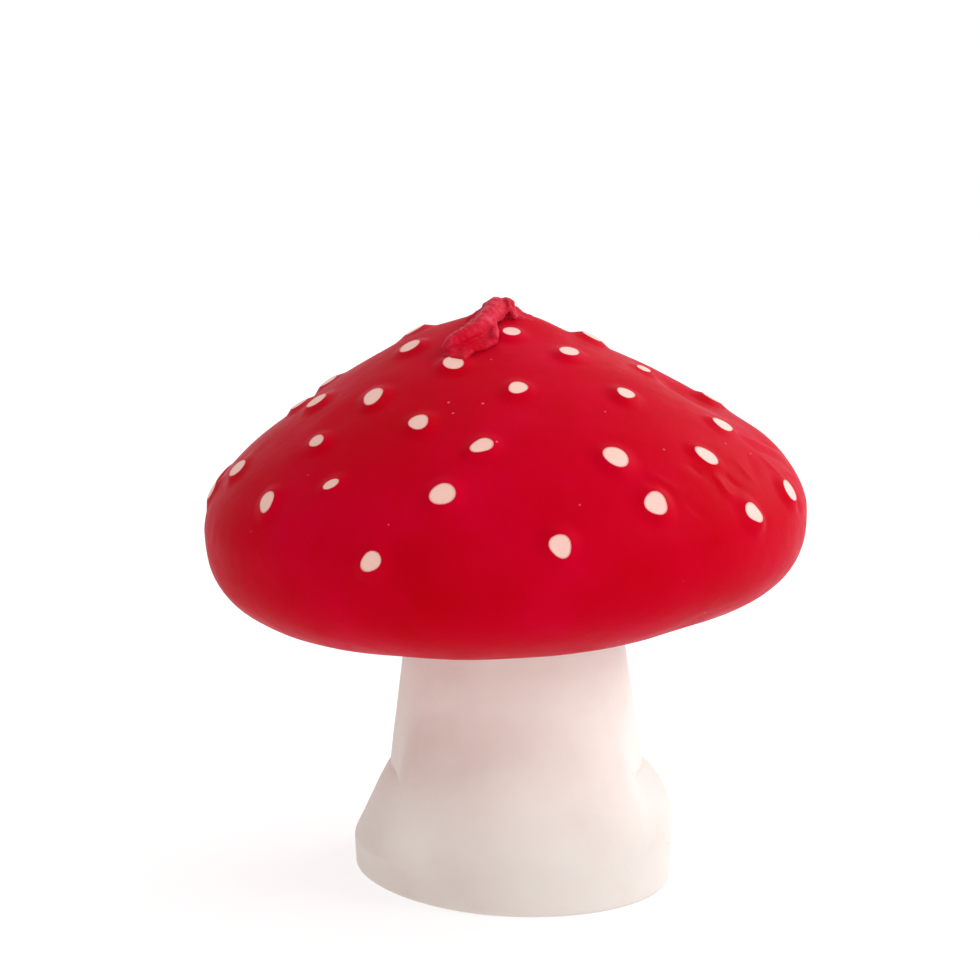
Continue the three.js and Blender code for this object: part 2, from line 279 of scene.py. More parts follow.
# each: height in mm (a valley is negative), half width in mm, then its stops as azimuth and
# angle down the dome, in degrees
FOLDS = (
    (-0.45, 1.3, (69, 59), (72, 62), (79, 68)),
    (-0.35, 1.2, (77, 61), (82, 64), (87, 69)),
    (-0.35, 1.7, (64, 62), (62, 65), (59, 69)),
    (-0.32, 1.1, (49, 64), (51, 69), (53, 71)),
    (-0.2, 1.0, (42, 60), (43, 62), (44, 64)),
    (-0.18, 1.0, (30, 62), (30, 64), (31, 65)),
    (-0.35, 1.6, (70, 81), (71, 84), (73, 87)),
    (0.38, 1.2, (68, 64), (69, 70), (68, 75)),
    (0.36, 1.1, (48, 62), (47, 66), (47, 70), (49, 75)),
    (0.2, 1.0, (32, 62), (34, 65), (36, 67)),
    (0.35, 1.8, (49, 85), (51, 87), (52, 90)),
    (0.3, 4.0, (-54, 51), (-54, 40), (-53, 30)),
    (0.22, 1.0, (57, 63), (57, 67), (58, 70)),
    (-0.16, 0.9, (36, 71), (37, 74), (39, 77)),
    (0.18, 0.9, (75, 72), (78, 75), (82, 77)),
    (0.25, 0.9, (71, 57), (76, 61), (83, 66)),
)

# a fold's height at its ends, as a part of half a sine wave
FOLD_START = 0.12
FOLD_SPAN = 0.76

# each: height in mm (a dent is negative), width in mm, azimuth and angle down, in degrees
SWELLINGS = (
    (-1.3, 13, 84, 44),       # right shoulder
    (-1.8, 8, 90, 40),
    (0.7, 8, 88, 62),
    (-0.9, 9, -95, 40),       # left shoulder
    (-0.8, 14, -86, 104),     # under the rim on the left
    (-0.7, 30, 48, 116),      # under the rim on the right
    (1.4, 7, 85, 9),          # wax drawn up towards the wick
    (0.5, 4, 93, 20),
    (0.6, 7, -95, 13),
)


def fold_height(places):
    """Height of all the folds together at places on the chart."""
    total = np.zeros(len(places))
    for height, width, *stops in FOLDS:
        line = [chart_place(*stop) for stop in stops]
        best = np.full(len(places), 1e9)
        share = np.zeros(len(places))
        for i, (start, end) in enumerate(zip(line, line[1:])):
            along = end - start
            t = np.clip((places - start) @ along / (along @ along), 0, 1)
            gap = np.hypot(*(places - start - t[:, None] * along).T)
            share = np.where(gap < best, (i + t) / (len(line) - 1), share)
            best = np.minimum(best, gap)
        ends = np.sin(math.pi * (FOLD_START + FOLD_SPAN * share))
        total += height * ends * np.exp(-((best / width) ** 2))
    return total


def skin(places):
    """The cap's outer surface, without warts, at places on the chart."""
    azimuth, length = from_chart(places)
    points, normals = bare_cap(azimuth, length)
    lift = uneven(points, SKIN_WAVES) * smooth_step(0, CALM_CROWN, length)
    for height, width, *middle in SWELLINGS:
        gap = np.hypot(*(places - chart_place(*middle)).T)
        lift += height * np.exp(-((gap / width) ** 2))
    return points + (lift + fold_height(places))[:, None] * normals, normals


# ---- warts ----

class Wart:
    """A bump in the skin, sliced off flat so that the pale core shows."""

    def __init__(self, azimuth, down, width, stretch=1.0, turn=0.0, point=0.0, tilt=(0.0, 0.0)):
        self.radius = width / 2
        self.stretch, self.turn, self.point = stretch, math.radians(turn), point
        self.place = chart_place(azimuth, down)
        length = np.hypot(*self.place)
        self.downhill = self.place / length
        self.level = np.array([-self.downhill[1], self.downhill[0]])
        self.widen = length / radius_at(length)
        middle, normal = skin(self.place[None, :])
        self.middle, self.normal = middle[0], normal[0]
        sideways = np.cross(self.normal, [0, 0, 1.0])
        sideways /= np.linalg.norm(sideways)
        slope = np.cross(sideways, self.normal)
        plane = self.normal + tilt[0] * sideways + tilt[1] * slope
        self.plane = plane / np.linalg.norm(plane)

    def reach(self, angle):
        """Distance from the middle to the cut's outline; angle is 0 level, a quarter turn downhill."""
        along = angle - self.turn
        long, short = self.radius * self.stretch ** 0.5, self.radius / self.stretch ** 0.5
        oval = long * short / np.hypot(short * np.cos(along), long * np.sin(along))
        return oval * (1 + self.point * np.cos(3 * along) + 0.5 * self.point * np.cos(along))

    def on_chart(self, level, downhill):
        """Places on the chart at distances from the middle, level and downhill."""
        return (self.place + np.multiply.outer(level * self.widen, self.level)
                + np.multiply.outer(downhill, self.downhill))

    def ring(self, scale, extra):
        """The cut's outline on the chart, scaled and then moved outwards by extra mm."""
        angle = np.arange(CONTOUR_STEPS) * 2 * math.pi / CONTOUR_STEPS
        reach = self.reach(angle) * scale + extra
        return self.on_chart(reach * np.cos(angle), reach * np.sin(angle))

    def beyond(self, places):
        """How far places on the chart lie outside the cut's outline, in mm."""
        offset = places - self.place
        level, downhill = offset @ self.level / self.widen, offset @ self.downhill
        return np.hypot(level, downhill) - self.reach(np.arctan2(downhill, level))

    def raise_skin(self, places, points):
        """Moves points of the skin up to the cut's plane, less and less along the flank."""
        beyond = self.beyond(places)
        share = np.clip(beyond / WART_FLANK, 0, 1)
        weight = (1 - share) ** 2 * (1 + FLANK_FULLNESS * share)
        near = np.nonzero(weight > 0)[0]
        top = self.middle + WART_HEIGHT * self.normal
        height = (top - points[near]) @ self.plane / (self.normal @ self.plane)
        points[near] += (weight[near] * height)[:, None] * self.normal


def make_warts():
    """All the warts, with each cut's small tilt and the back's shapes drawn at random."""
    draw = np.random.default_rng(SEED)
    warts = []
    for spot in FRONT_SPOTS:
        warts.append(Wart(*spot, tilt=draw.uniform(-FRONT_TILT, FRONT_TILT, 2)))
    for spot in BACK_SPOTS:
        stretch = draw.uniform(*BACK_STRETCH)
        turn = draw.uniform(0, 180)
        point = draw.uniform(*BACK_POINT)
        tilt = draw.uniform(-BACK_TILT, BACK_TILT, 2)
        warts.append(Wart(*spot, stretch, turn, point, tilt))
    return warts


# ---- the cap's mesh ----

WICK_HOLE = np.array([3.3, -1.8])      # on the chart, where the wick comes out
WICK_HOLE_STEPS = 20
WICK_HOLE_RING = 0.6                   # a second ring of points lies this far outside the hole
WICK_HOLE_CLEAR = 1                    # and the lattice starts this far outside it
STEM_HOLE_RADIUS = 22.35
STEM_HOLE_CENTRE = 0.77
STEM_HOLE_SHIFT = 20                   # past the widest level, where rings start to move over
MENISCUS = 1.1                         # red wax drawn down onto the stem
MENISCUS_START = 2.6                   # it starts this far before the stem
MENISCUS_END = 0.6                     # and would be full this far behind the stem's face
UNDERSIDE_RINGS = (17, 12, 7, 3.5)     # radii
CAP_MIDDLE = (0, 0, -2.0)              # a point inside the cap that all faces look away from


def dome_places(warts):
    """Places on the chart for the dome's mesh, and the pairs of places that must stay joined."""
    around = np.arange(SEAM_STEPS) * 2 * math.pi / SEAM_STEPS
    groups = [chart(around, np.full(SEAM_STEPS, SEAM_LENGTH))]
    kept = []

    def outline(places):
        start = sum(len(group) for group in groups)
        groups.append(places)
        kept.extend((start + i, start + (i + 1) % len(places)) for i in range(len(places)))
        return start

    turn = np.arange(WICK_HOLE_STEPS) * 2 * math.pi / WICK_HOLE_STEPS
    circle = np.stack([np.cos(turn), np.sin(turn)], axis=1)
    hole_start = outline(WICK_HOLE + CHANNEL_RADIUS * circle)
    groups.append(WICK_HOLE + (CHANNEL_RADIUS + WICK_HOLE_RING) * circle)
    for wart in warts:
        outline(wart.ring(1, 0))
        groups.append(wart.place[None, :])
        groups.extend(wart.ring(scale, 0) for scale in CUT_RINGS)
        groups.extend(wart.ring(1, extra) for extra in FLANK_RINGS)

    for step, fine in ((DOME_STEP, False), (FINE_STEP, True)):
        rows = np.arange(-SEAM_LENGTH, SEAM_LENGTH, step * ROW_GAP)
        columns = np.arange(-SEAM_LENGTH, SEAM_LENGTH, step)
        lattice = np.array([
            (x + (step / 2 if i % 2 else 0), y) for i, y in enumerate(rows) for x in columns
        ])
        azimuth, length = from_chart(lattice)
        azimuth = np.degrees(azimuth)
        start, end = WRINKLED_AZIMUTH
        wrinkled = (azimuth > start) & (azimuth < end) & (length > WRINKLED_LENGTH)
        use = (wrinkled == fine) & (length < SEAM_LENGTH - SEAM_CLEAR)
        lattice = lattice[use]
        clear = np.hypot(*(lattice - WICK_HOLE).T) > CHANNEL_RADIUS + WICK_HOLE_CLEAR
        for wart in warts:
            clear &= wart.beyond(lattice) > FLANK_RINGS[-1] + FLANK_CLEAR * step
        groups.append(lattice[clear])
    return np.concatenate(groups), kept, hole_start


def sort_dome_faces(places, faces, warts):
    """The dome's faces that are red skin and those inside a cut, without the wick's hole."""
    corners = np.array(faces)
    centres = places[corners].mean(axis=1)
    in_hole = np.hypot(*(centres - WICK_HOLE).T) < CHANNEL_RADIUS
    in_cut = np.zeros(len(faces), bool)
    for wart in warts:
        in_cut |= wart.beyond(centres) < 0
    skin_faces = [tuple(face) for face in corners[~in_hole & ~in_cut].tolist()]
    cut_faces = [tuple(face) for face in corners[in_cut].tolist()]
    return skin_faces, cut_faces


def rim_rings(around):
    """Rings over the rim and in to the stem, each with its outer, inner and core points."""
    rim = slice(OUTLINE_STEPS, None)
    stem_length = np.interp(-STEM_HOLE_RADIUS, -PROFILE_RADIUS[rim], PROFILE_LENGTH[rim])
    count = round((stem_length - SEAM_LENGTH) / RIM_STEP)
    rings = []
    for length in np.linspace(SEAM_LENGTH, stem_length, count + 1)[1:]:
        points, normals = skin(chart(around, np.full(SEAM_STEPS, length)))
        share = smooth_step(WIDEST_LENGTH + STEM_HOLE_SHIFT, stem_length, length)
        points[:, 0] += STEM_HOLE_CENTRE * share
        draw_down = MENISCUS * smooth_step(
            stem_length - MENISCUS_START, stem_length + MENISCUS_END, length)
        wet = points - [0, 0, draw_down]
        rings.append((wet, points - COAT * normals, points - CORE_DEPTH * normals))
    return rings


def underside_rings(around, height):
    """Level rings of the core's underside, from the stem's edge in to the wick's channel."""
    rings = []
    for radius in (*UNDERSIDE_RINGS, CHANNEL_RADIUS):
        ring = np.stack([
            STEM_HOLE_CENTRE + radius * np.sin(around), -radius * np.cos(around),
            np.full(SEAM_STEPS, height),
        ], axis=1)
        rings.append((ring, ring, ring))
    return rings


def mesh_cap(warts):
    """Outer, inner and core points, faces by kind, and where the channel's two rings start."""
    places, kept, hole_start = dome_places(warts)
    found, _, triangles, origins, _, _ = delaunay_2d_cdt(
        [Vector(place) for place in places], kept, [], 0, SAME_PLACE)
    if len(found) != len(places):
        raise RuntimeError("two places on the dome fell together")
    source = [origin[0] for origin in origins]
    faces = [tuple(source[i] for i in triangle) for triangle in triangles]
    skin_faces, cut_faces = sort_dome_faces(places, faces, warts)

    outer, normals = skin(places)
    for wart in warts:
        wart.raise_skin(places, outer)
    blocks = [(outer, outer - COAT * normals, outer - CORE_DEPTH * normals)]

    around = np.arange(SEAM_STEPS) * 2 * math.pi / SEAM_STEPS
    rim = rim_rings(around)
    core_edge = rim[-1][2]
    underside = underside_rings(around, core_edge[:, 2].mean())
    under_faces = []
    last, count = 0, len(outer)
    for rings, kind in ((rim, skin_faces), (underside, under_faces)):
        for _ in rings:
            kind.extend(ring_faces(count, last, SEAM_STEPS))
            last, count = count, count + SEAM_STEPS
    blocks += rim + underside
    outer, inner, core = (np.concatenate([block[i] for block in blocks]) for i in range(3))
    return outer, inner, core, skin_faces, cut_faces, under_faces, hole_start, last


def upright(points, faces):
    """Faces turned so that their normals point away from the cap's middle."""
    middle = np.array(CAP_MIDDLE)
    turned = []
    for face in faces:
        a, b, c = (points[i] for i in face[:3])
        facing = np.cross(b - a, c - a) @ (a - middle)
        turned.append(face if facing > 0 else face[::-1])
    return turned


def open_edges(faces):
    """Directed edges that only one face uses."""
    edges = dict.fromkeys(
        (start, end) for face in faces for start, end in zip(face, face[1:] + face[:1]))
    return [(start, end) for start, end in edges if (end, start) not in edges]


def compact(points, faces):
    """Points and faces without the points that no face uses, and the numbers of those kept."""
    used = sorted({i for face in faces for i in face})
    place = {old: new for new, old in enumerate(used)}
    return points[used], [tuple(place[i] for i in face) for face in faces], np.array(used)


def in_part_frame(points):
    """Points of the cap's own frame, tilted and lifted into the part's."""
    turn = np.array(Matrix.Rotation(CAP_TILT, 3, "Y"))
    return points @ turn.T + [CAP_OFFSET, 0, CAP_LEVEL]


def cap_pieces(red, pale):
    """The red coat and the pale core, cut from one mesh so that they fit."""
    warts = make_warts()
    outer, inner, core, skin_faces, cut_faces, under_faces, hole_start, channel = mesh_cap(warts)
    count = len(outer)
    skin_faces = upright(outer, skin_faces)
    cut_faces = upright(outer, cut_faces)
    under_faces = upright(core, under_faces)

    # red coat: outer and inner skin, joined by a wall at each opening
    faces = skin_faces + [tuple(count + i for i in face[::-1]) for face in skin_faces]
    faces += [(b, a, count + a, count + b) for a, b in open_edges(skin_faces)]
    points, faces, _ = compact(np.concatenate([outer, inner]), faces)
    make_piece("cap_coat_skin", in_part_frame(points), faces, "cap_coat", red)

    # pale core: the cuts stand at the skin's height, on walls that rise from the core's surface
    faces = cut_faces + [tuple(count + i for i in face) for face in skin_faces + under_faces]
    faces += [(b, a, count + a, count + b) for a, b in open_edges(cut_faces)]
    points = np.concatenate([outer, core])
    hole = [count + hole_start + i for i in range(WICK_HOLE_STEPS)]
    floor = [count + channel + i for i in range(SEAM_STEPS)]
    faces += channel_faces(points, hole, floor)
    points, faces, used = compact(points, faces)
    body = make_piece("cap_core_body", in_part_frame(points), faces, "cap_core", pale)

    # 1 at the points on a cut's outline, 0 at all others; the material paints a red glow there
    rim = np.zeros(2 * count)
    for a, b in open_edges(cut_faces):
        rim[[a, b]] = 1
    marks = body.data.attributes.new("cut_edge_glow", "FLOAT", "POINT")
    marks.data.foreach_set("value", rim[used])


def channel_faces(points, top, bottom):
    """Triangles between two rings with different numbers of points, facing the channel."""
    def angle(ring):
        middle = points[ring].mean(axis=0)
        return np.arctan2(points[ring][:, 1] - middle[1], points[ring][:, 0] - middle[0])

    def sorted_ring(ring):
        return [ring[i] for i in np.argsort(angle(ring))], np.sort(angle(ring))

    (upper, upper_angle), (lower, lower_angle) = sorted_ring(top), sorted_ring(bottom)
    faces = []
    i = j = 0
    while i < len(upper) or j < len(lower):
        next_upper = upper_angle[i] if i < len(upper) else 9
        next_lower = lower_angle[j] if j < len(lower) else 9
        a, b = upper[(i - 1) % len(upper)], lower[(j - 1) % len(lower)]
        if next_upper <= next_lower:
            faces.append((b, a, upper[i]))
            i += 1
        else:
            faces.append((b, a, lower[j]))
            j += 1
    return faces


# ---- stem ----

def stem_profile():
    """Radius and height along the outline: out along the base, up, and down the channel."""
    profile = []
    profile += [(r, 0.0) for r in np.linspace(0, BASE_RADIUS - BASE_EDGE, BASE_STEPS)[1:]]
    for turn in np.linspace(0, math.pi / 2, EDGE_STEPS)[1:]:
        profile.append((BASE_RADIUS - BASE_EDGE + BASE_EDGE * math.sin(turn),
                        BASE_EDGE * (1 - math.cos(turn))))
    foot = FOOT_LEVEL - BASE_EDGE
    profile += [(BASE_RADIUS + (FOOT_RADIUS - BASE_RADIUS) * share, BASE_EDGE + foot * share)
                for share in np.linspace(0, 1, FOOT_STEPS)[1:]]
    for turn in np.linspace(math.pi / 2, 0, SHOULDER_STEPS)[1:]:
        profile.append((
            CREASE_RADIUS + (FOOT_RADIUS - CREASE_RADIUS) * math.sin(turn) ** (2 / FOOT_SHOULDER),
            FOOT_LEVEL + (CREASE_LEVEL - FOOT_LEVEL) * math.cos(turn) ** (2 / FOOT_SHOULDER),
        ))
    taper = STEM_TAPER_LEVEL - CREASE_LEVEL
    profile += [(CREASE_RADIUS + (STEM_TOP_RADIUS - CREASE_RADIUS) * share,
                 CREASE_LEVEL + taper * share) for share in np.linspace(0, 1, TAPER_STEPS)[1:]]
    profile += [(STEM_TOP_RADIUS, z) for z in np.linspace(STEM_TAPER_LEVEL, STEM_TOP, NECK_STEPS)[1:]]
    profile += [(r, STEM_TOP) for r in np.linspace(STEM_TOP_RADIUS, CHANNEL_RADIUS, TOP_STEPS)[1:]]
    profile += [(CHANNEL_RADIUS, z) for z in np.linspace(STEM_TOP, CHANNEL_START, CHANNEL_STEPS)[1:]]
    return np.array(profile)


def stem_points(profile):
    """The outline turned round the axis: oval at the foot, with a crease at the two sides only."""
    turn = np.arange(STEM_STEPS) * 2 * math.pi / STEM_STEPS
    radius = np.repeat(profile[:, 0], STEM_STEPS)
    height = np.repeat(profile[:, 1], STEM_STEPS)
    angle = np.tile(turn, len(profile))
    x, y = radius * np.cos(angle), radius * np.sin(angle)
    in_foot = 1 - smooth_step(OVAL_LEVEL, CREASE_LEVEL, height)
    swell = 1 + in_foot * (FOOT_OVAL * np.sin(2 * angle) + FOOT_LOBES * np.cos(3 * angle))

    # in front and behind, the outline leaves the crease for a smooth curve from foot to stem
    up = np.clip((height - CREASE_LEVEL) / (STEM_TAPER_LEVEL - CREASE_LEVEL), 0, 1)
    straight = CREASE_RADIUS + (STEM_TOP_RADIUS - CREASE_RADIUS) * up
    share = smooth_step(SMOOTH_START, SMOOTH_END, height)
    smooth = FOOT_RADIUS + (straight - FOOT_RADIUS) * share
    facing = 1 - smooth_step(CREASE_FADES, CREASE_FULL, np.abs(np.cos(angle)))
    outside = radius > FLAT_END_RADIUS
    between = (height >= FOOT_LEVEL) & (height <= STEM_TAPER_LEVEL) & outside
    swell *= 1 + np.where(between, facing * (smooth - radius) / radius, 0)

    # the foot's widest level is higher on the right, and the top is tilted to meet the cap
    levels, centres = zip(*STEM_CENTRES)
    roll = np.where(height < CREASE_LEVEL, np.sin(math.pi * height / CREASE_LEVEL), 0)
    lifted = height + FOOT_ROLL * roll * np.cos(angle) * radius / FOOT_RADIUS
    lifted += math.sin(-CAP_TILT) * x * smooth_step(STEM_TAPER_LEVEL, STEM_TOP, height)
    points = np.stack([x * swell + np.interp(height, levels, centres), y * swell, lifted], axis=1)

    # hand-worked unevenness, on the outside only
    wave = uneven(points, STEM_WAVES) * outside * smooth_step(0, WAVES_START, height)
    points[:, 0] += wave * np.cos(angle)
    points[:, 1] += wave * np.sin(angle)
    return points


def stem_piece(pale):
    """The stem, closed by a fan at its base and another at the channel's blind end."""
    profile = stem_profile()
    points = stem_points(profile)
    faces = []
    for i in range(len(profile) - 1):
        faces += ring_faces((i + 1) * STEM_STEPS, i * STEM_STEPS, STEM_STEPS)
    base, blind = len(points), len(points) + 1
    points = np.concatenate([points, [[STEM_CENTRES[0][1], 0, 0], [0, 0, CHANNEL_START]]])
    last = (len(profile) - 1) * STEM_STEPS
    for i in range(STEM_STEPS):
        after = (i + 1) % STEM_STEPS
        faces.append((base, i, after))
        faces.append((blind, last + after, last + i))
    faces = [face[::-1] for face in faces]
    make_piece("stem_body", points, faces, "stem", pale)


# ---- wick ----

# the wick's middle line, from inside the foot to its folded tip: x, y, z
WICK_ROUTE = (
    (0, 0, 4.8), (0, 0, 28), (-0.6, -0.3, 60), (-1.8, -1, 95), (-2.4, -1.2, 110),
    (-2.5, -1.4, 112.8), (-3, -3.2, 114.5), (-3.9, -7.2, 114.1), (-5.2, -11, 112.9),
    (-7.2, -14.4, 111.4), (-9.4, -16.4, 110.4), (-11, -17.6, 109.7),
)
WICK_STEP = 0.5
CURVE_SAMPLES = 24            # between two stops, before they are spaced evenly
BRAID_STRANDS = 3
BRAID_LENGTH = 6.5            # length of one full crossing of a strand
BRAID_WIDTH = 0.62
BRAID_DEPTH = 0.3
STRAND_RADIUS = 0.42
STRAND_SIDES = 8


def smooth_route(stops, step):
    """Evenly spaced points on a curve through the stops, and each point's length along it."""
    stops = np.array(stops, float)
    padded = np.concatenate([[2 * stops[0] - stops[1]], stops, [2 * stops[-1] - stops[-2]]])
    line = []
    for before, start, end, after in zip(padded, padded[1:], padded[2:], padded[3:]):
        t = np.linspace(0, 1, CURVE_SAMPLES, endpoint=False)[:, None]
        gap = np.linalg.norm(end - start)
        leave = (end - before) * gap / (gap + np.linalg.norm(start - before))
        arrive = (after - start) * gap / (gap + np.linalg.norm(after - end))
        line.append((2 * t**3 - 3 * t**2 + 1) * start + (t**3 - 2 * t**2 + t) * leave
                    + (3 * t**2 - 2 * t**3) * end + (t**3 - t**2) * arrive)
    line = np.concatenate(line + [stops[-1:]])
    length = np.concatenate([[0], np.cumsum(np.linalg.norm(np.diff(line, axis=0), axis=1))])
    even = np.linspace(0, length[-1], round(length[-1] / step) + 1)
    return np.stack([np.interp(even, length, line[:, i]) for i in range(3)], axis=1), even


def frames_along(line):
    """Two directions square to the line at each of its points, without twist."""
    along = np.gradient(line, axis=0)
    along /= np.linalg.norm(along, axis=1)[:, None]
    side = np.array([1.0, 0, 0])
    sides = []
    for direction in along:
        side = side - (side @ direction) * direction
        side /= np.linalg.norm(side)
        sides.append(side)
    sides = np.array(sides)
    return sides, np.cross(along, sides)


def tube(line, radius, sides):
    """Points and faces of a closed tube along a line."""
    across, deep = frames_along(line)
    turn = np.arange(sides) * 2 * math.pi / sides
    ring = (np.cos(turn)[None, :, None] * across[:, None]
            + np.sin(turn)[None, :, None] * deep[:, None])
    points = (line[:, None] + radius * ring).reshape(-1, 3)
    faces = []
    for i in range(len(line) - 1):
        faces += ring_faces(i * sides, (i + 1) * sides, sides)
    last = (len(line) - 1) * sides
    faces.append(tuple(range(sides))[::-1])
    faces.append(tuple(range(last, last + sides)))
    return points, faces


def wick_piece(looks):
    """Three strands braided around the wick's middle line."""
    middle, length = smooth_route(WICK_ROUTE, WICK_STEP)
    across, deep = frames_along(middle)
    points, faces = [], []
    count = 0
    for i in range(BRAID_STRANDS):
        turn = 2 * math.pi * (length / BRAID_LENGTH + i / BRAID_STRANDS)
        strand = (middle + BRAID_WIDTH * np.sin(turn)[:, None] * across
                  + BRAID_DEPTH * np.sin(2 * turn)[:, None] * deep)
        strand_points, strand_faces = tube(strand, STRAND_RADIUS, STRAND_SIDES)
        points.append(strand_points)
        faces += [tuple(count + j for j in face) for face in strand_faces]
        count += len(strand_points)
    make_piece("wick_braid", np.concatenate(points), faces, "wick", looks)


# ---- the wax around the folded wick ----

# strands of wax: x, y, z and half thickness at each stop
WAX_STRANDS = (
    # the wick's cover, from under the crown over the bend to the tip
    ((-2.2, -0.6, 111.8, 3.0), (-2.6, -1.2, 113.8, 2.65), (-3.1, -2.6, 114.6, 2.5),
     (-3.6, -5.2, 114.4, 2.2), (-4.5, -8.4, 113.7, 2.0), (-5.6, -11.4, 112.6, 1.9),
     (-7.4, -14.2, 111.3, 1.8), (-9.6, -16.2, 110.3, 1.75), (-11.4, -17.6, 109.5, 1.5),
     (-12.8, -18.4, 108.7, 0.9)),
    # knob at the bend
    ((-3.9, -2.4, 114.3, 2.4), (-2.4, -2.2, 114.6, 2.3)),
    # cone where it leaves the crown
    ((-2.4, -0.8, 112.0, 4.2), (-2.6, -1.0, 113.7, 3.0)),
    # hook that hangs from the fold
    ((-3.9, -10.6, 112.2, 0.9), (-3.5, -13.2, 111.2, 0.8), (-3.6, -15.6, 110.2, 0.85)),
    # fold beside the bend
    ((-1.4, -1.6, 115.9, 0.95), (-0.5, -2.2, 115.6, 0.95), (-0.4, -3.4, 114.4, 0.9),
     (0.0, -4.2, 113.2, 1.0)),
    # thin torn ridges
    ((-1.5, -2.8, 116.5, 0.45), (-0.9, -4.0, 116.0, 0.5), (-0.6, -4.6, 114.9, 0.5)),
    ((-0.6, -4.8, 114.9, 0.45), (-1.8, -5.6, 113.9, 0.4), (-2.4, -6.4, 112.9, 0.45)),
    ((-0.6, -4.8, 114.9, 0.4), (0.3, -5.2, 113.2, 0.45)),
    # short skirts on the crown, right and left
    ((-0.2, -0.8, 114.0, 1.4), (1.2, -0.6, 113.0, 1.3), (2.6, -0.5, 112.3, 1.2),
     (4.6, -0.4, 111.6, 1.0)),
    ((0.2, -3.0, 113.2, 1.2), (2.0, -3.4, 112.2, 1.1), (4.2, -3.4, 111.3, 1.0)),
    ((-5.4, -1.6, 113.6, 1.5), (-6.8, -2.0, 112.8, 1.4), (-8.4, -2.4, 112.2, 1.2)),
    ((-5.6, -5.4, 113.2, 1.4), (-7.0, -7.0, 112.3, 1.3), (-8.4, -9.6, 111.4, 1.2)),
    ((-6.4, -8.6, 112.3, 1.6), (-8.2, -11.4, 111.1, 1.6), (-10.6, -13.8, 110.0, 1.5),
     (-12.4, -16.0, 109.1, 1.2)),
)
# sheets of wax: an upper edge and a lower edge with as many stops
WAX_SHEETS = (
    # the flap that hangs from the tip
    (((-12.6, -16.8, 108.9, 0.6), (-11.2, -17.1, 108.9, 0.6), (-9.0, -15.8, 109.7, 0.6),
      (-7.0, -14.1, 110.6, 0.6), (-5.2, -12.3, 111.2, 0.6), (-4.2, -11.2, 111.5, 0.6)),
     ((-13.0, -18.3, 107.4, 0.6), (-11.5, -20.4, 106.9, 0.65), (-9.6, -21.2, 106.8, 0.7),
      (-8.0, -18.8, 108.0, 0.65), (-5.6, -17.9, 108.6, 0.65), (-3.6, -15.8, 109.6, 0.7))),
)
BALL_GAP = 0.25               # most that two balls lie apart, as a share of their radius
SHEET_STRANDS = 11
WAX_VOXEL = 0.15
WAX_SOFTEN = 5                # rounds of smoothing
WAX_SOFTER = 6 * WAX_SOFTEN   # rounds for the skin that ridges are measured from
TORN_PLACE = (-5.5, -13.0, 111.5)  # the roughest wax is around here
TORN_WIDTH = 5.0
FLAP_PLACE = (-8.0, -18.4, 109.0)  # the flap has no pale ridges: it gets neither the torn wax's paleness nor the painted highlight
FLAP_WIDTH = 5.0
UNDER_SIDE = 0.25             # where the normal points down more than this, the wax stays smooth
UNDER_FADE = 0.35             # and it is fully rough where the normal points up by this much more
RIDGE_RANGE = (0.02, 0.34)    # mm above the softer skin
RIDGE_ROUGHNESS = 0.8         # share of the roughness that counts as ridge
RIDGE_LEAST = 0.12            # how pale the wax is between ridges, and what a full ridge adds; the paleness is partly torn wax, partly painted highlight
RIDGE_SPAN = 0.8


def wax_lumps():
    """Points and faces of overlapping balls along the strands."""
    ball = bmesh.new()
    bmesh.ops.create_icosphere(ball, subdivisions=2, radius=1)
    shape = np.array([corner.co for corner in ball.verts])
    shape_faces = [[corner.index for corner in face.verts] for face in ball.faces]
    ball.free()
    strands = [np.array(strand) for strand in WAX_STRANDS]
    for upper, lower in WAX_SHEETS:
        upper, lower = np.array(upper), np.array(lower)
        strands += [upper + (lower - upper) * share for share in np.linspace(0, 1, SHEET_STRANDS)]
    points, faces = [], []
    for strand in strands:
        for start, end in zip(strand, strand[1:]):
            gap = np.linalg.norm(end[:3] - start[:3])
            steps = max(2, math.ceil(gap / (BALL_GAP * min(start[3], end[3]))))
            for x, y, z, radius in np.linspace(start, end, steps + 1):
                first = len(points) * len(shape)
                faces += [[first + i for i in face] for face in shape_faces]
                points.append(shape * radius + [x, y, z])
    return np.concatenate(points), faces


def melted(points, faces, soften):
    """The balls melted into one closed skin: its points, normals and faces."""
    mesh = bpy.data.meshes.new("lumps")
    mesh.from_pydata(points.tolist(), [], faces)
    lumps = bpy.data.objects.new("lumps", mesh)
    bpy.context.scene.collection.objects.link(lumps)
    remesh = lumps.modifiers.new("melt", "REMESH")
    remesh.mode = "VOXEL"
    remesh.voxel_size = WAX_VOXEL
    smooth = lumps.modifiers.new("soften", "SMOOTH")
    smooth.factor = 0.5
    smooth.iterations = soften
    skin_mesh = bpy.data.meshes.new_from_object(
        lumps.evaluated_get(bpy.context.evaluated_depsgraph_get()))
    bpy.data.objects.remove(lumps)
    places = np.array([corner.co for corner in skin_mesh.vertices])
    normals = np.array([corner.vector for corner in skin_mesh.vertex_normals])
    skin_faces = [tuple(face.vertices) for face in skin_mesh.polygons]
    bpy.data.meshes.remove(skin_mesh)
    return places, normals, skin_faces


